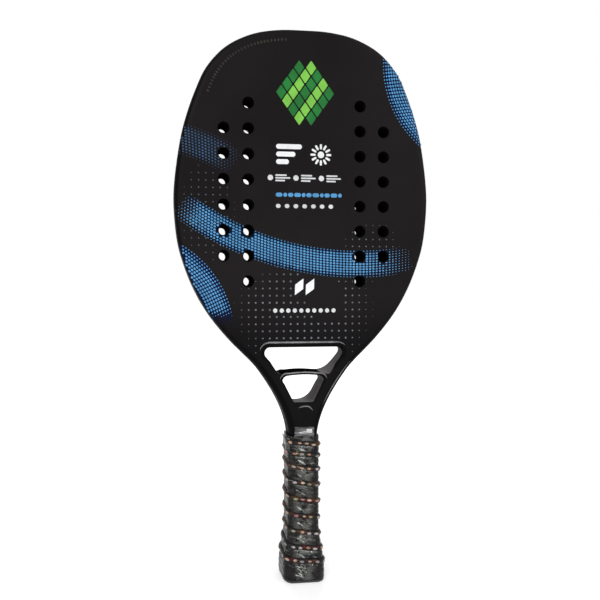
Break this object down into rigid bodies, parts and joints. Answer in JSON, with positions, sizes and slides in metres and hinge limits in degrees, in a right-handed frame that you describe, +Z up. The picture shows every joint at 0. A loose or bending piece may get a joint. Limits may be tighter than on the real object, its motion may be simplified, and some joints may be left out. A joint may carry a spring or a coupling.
{
  "type": "beach tennis racket",
  "caption": "Beach tennis racket: perforated oval head with foam core and carbon faces, open throat with an arched bar, wrapped handle and flared butt.",
  "frame": {"origin": "middle of the flat end of the butt", "axes": "+Z up the handle to the top of the head, -Y out of the front face, +X to the right seen from the front"},
  "size_m": [0.2352, 0.0368, 0.5],
  "materials": {
    "gloss_carbon": "gloss black lacquer over carbon fibre",
    "face_laminate": "satin charcoal lacquer over woven carbon",
    "foam": "matt black foam",
    "filler_foam": "matt rigid foam",
    "cap_plastic": "satin black moulding",
    "staple_wire": "drawn steel wire",
    "tape": "black cushioned tape",
    "stitched_rib": "dark rib with copper stitches",
    "clear_film": "clear glossy film"
  },
  "bodies": {
    "root": {"frame_tube": "gloss_carbon", "core_foam": "foam", "front_skin": "face_laminate", "back_skin": "face_laminate", "throat_bridge": "gloss_carbon", "throat_crossbar": "gloss_carbon", "throat_gusset": "gloss_carbon", "leg_filler": "filler_foam", "butt_cap": "cap_plastic", "butt_plug": "cap_plastic", "staple_front": "staple_wire", "staple_back": "staple_wire", "grip_underlay": "foam", "grip_tape": "tape", "grip_rib": "stitched_rib", "grip_film": "clear_film", "film_tab": "clear_film"}
  },
  "joints": []
}
